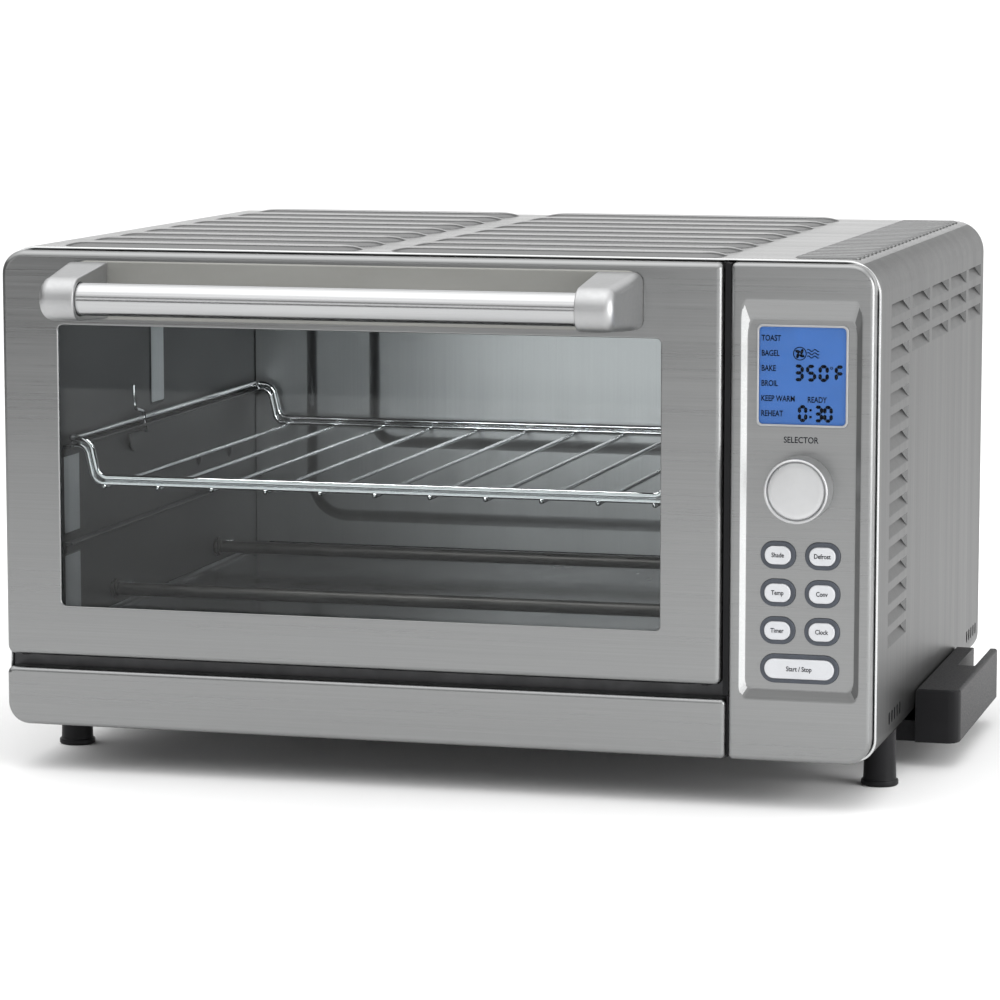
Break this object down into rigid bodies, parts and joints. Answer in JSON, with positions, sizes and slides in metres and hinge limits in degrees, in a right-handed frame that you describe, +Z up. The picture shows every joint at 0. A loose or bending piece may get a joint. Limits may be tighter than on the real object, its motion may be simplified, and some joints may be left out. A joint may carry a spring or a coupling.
{
  "type": "toaster oven",
  "caption": "Countertop toaster oven with a drop-down window door, bar handle, wire rack, heating rods, convection fan and an electronic control column",
  "frame": {"origin": "middle of the footprint, on the surface that the feet stand on", "axes": "+Z up, +Y to the back of the oven, the door faces -Y, +X to the control column's side"},
  "size_m": [0.511, 0.442, 0.29],
  "materials": {
    "steel_brushed": "brushed along the width",
    "steel_liner": "bright plain sheet",
    "steel_dark": "dark coated sheet",
    "chrome_wire": "bright plated",
    "handle_satin": "satin silver",
    "heater_sheath": "dark oxidised sheath",
    "black_plastic": "moulded black",
    "key_surround": "dark slate, soft touch",
    "key_cap": "silver grey keys",
    "window_glass": "clear tempered glass",
    "display_blue": "blue lit display",
    "circuit_green": "board with parts"
  },
  "bodies": {
    "chassis": {"casing_wrap": "steel_brushed", "rear_panel": "steel_brushed", "base_plate": "steel_dark", "front_frame": "steel_dark", "lower_front_panel": "steel_brushed", "control_panel": "steel_brushed", "display_lens": "window_glass", "display_module": "display_blue", "keypad_surround": "key_surround", "control_board": "circuit_green", "power_board": "circuit_green", "encoder": "black_plastic", "compartment_divider": "steel_dark", "cavity_left_wall": "steel_liner", "cavity_right_wall": "steel_liner", "cavity_back": "steel_liner", "cavity_top": "steel_liner", "cavity_floor": "steel_liner", "upper_guide_left": "steel_liner", "upper_guide_right": "steel_liner", "lower_guide_left": "steel_liner", "lower_guide_right": "steel_liner", "lower_element_front": "heater_sheath", "upper_element_front": "heater_sheath", "lower_element_rear": "heater_sheath", "upper_element_rear": "heater_sheath", "temperature_probe": "handle_satin", "fan_grille": "steel_liner", "fan_motor": "steel_dark", "side_bracket": "black_plastic", "cord_gland": "black_plastic", "foot_front_left": "black_plastic", "foot_front_right": "black_plastic", "foot_rear_left": "black_plastic", "foot_rear_right": "black_plastic", "hinge_bracket_left": "steel_dark", "hinge_bracket_right": "steel_dark"},
    "door": {"door_skin": "steel_brushed", "door_inner_frame": "steel_liner", "door_glass": "window_glass", "handle_bar": "handle_satin", "handle_post_left": "handle_satin", "handle_post_right": "handle_satin", "hinge_pin_left": "chrome_wire", "hinge_pin_right": "chrome_wire", "hinge_arm_left": "steel_dark", "hinge_arm_right": "steel_dark"},
    "rack": {"wire_rack": "chrome_wire"},
    "tray": {"crumb_tray": "steel_liner"},
    "knob": {"selector_knob": "handle_satin", "knob_shaft": "chrome_wire"},
    "fan": {"fan_wheel": "handle_satin", "fan_shaft": "chrome_wire"},
    "shade_key": {"shade_button": "key_cap"},
    "defrost_key": {"defrost_button": "key_cap"},
    "temperature_key": {"temperature_button": "key_cap"},
    "convection_key": {"convection_button": "key_cap"},
    "timer_key": {"timer_button": "key_cap"},
    "clock_key": {"clock_button": "key_cap"},
    "start_key": {"start_button": "key_cap"}
  },
  "joints": [
    {"name": "door_hinge", "type": "hinge", "parent": "chassis", "child": "door", "pos_m": [-0.0125, -0.16095, 0.068], "axis": [1, 0, 0], "range_deg": [0, 90]},
    {"name": "rack_slide", "type": "slide", "parent": "chassis", "child": "rack", "axis": [0, -1, 0], "range_m": [0, 0.101]},
    {"name": "tray_slide", "type": "slide", "parent": "chassis", "child": "tray", "axis": [0, 1, 0], "range_m": [0, 0.3]},
    {"name": "selector_turn", "type": "hinge", "parent": "chassis", "child": "knob", "pos_m": [0.1909, -0.16695, 0.1714], "axis": [0, 1, 0], "continuous": true},
    {"name": "fan_spin", "type": "hinge", "parent": "chassis", "child": "fan", "pos_m": [0.1405, 0.04805, 0.186], "axis": [1, 0, 0], "continuous": true},
    {"name": "shade_press", "type": "slide", "parent": "chassis", "child": "shade_key", "axis": [0, 1, 0], "range_m": [0, 0.001], "stiffness_N_per_m": 900, "springref_m": -0.0006},
    {"name": "defrost_press", "type": "slide", "parent": "chassis", "child": "defrost_key", "axis": [0, 1, 0], "range_m": [0, 0.001], "stiffness_N_per_m": 900, "springref_m": -0.0006},
    {"name": "temperature_press", "type": "slide", "parent": "chassis", "child": "temperature_key", "axis": [0, 1, 0], "range_m": [0, 0.001], "stiffness_N_per_m": 900, "springref_m": -0.0006},
    {"name": "convection_press", "type": "slide", "parent": "chassis", "child": "convection_key", "axis": [0, 1, 0], "range_m": [0, 0.001], "stiffness_N_per_m": 900, "springref_m": -0.0006},
    {"name": "timer_press", "type": "slide", "parent": "chassis", "child": "timer_key", "axis": [0, 1, 0], "range_m": [0, 0.001], "stiffness_N_per_m": 900, "springref_m": -0.0006},
    {"name": "clock_press", "type": "slide", "parent": "chassis", "child": "clock_key", "axis": [0, 1, 0], "range_m": [0, 0.001], "stiffness_N_per_m": 900, "springref_m": -0.0006},
    {"name": "start_press", "type": "slide", "parent": "chassis", "child": "start_key", "axis": [0, 1, 0], "range_m": [0, 0.001], "stiffness_N_per_m": 900, "springref_m": -0.0006}
  ],
  "couplings": [
    {"joint": "rack_slide", "follows": "door_hinge", "m_per_rad": 0.064}
  ]
}
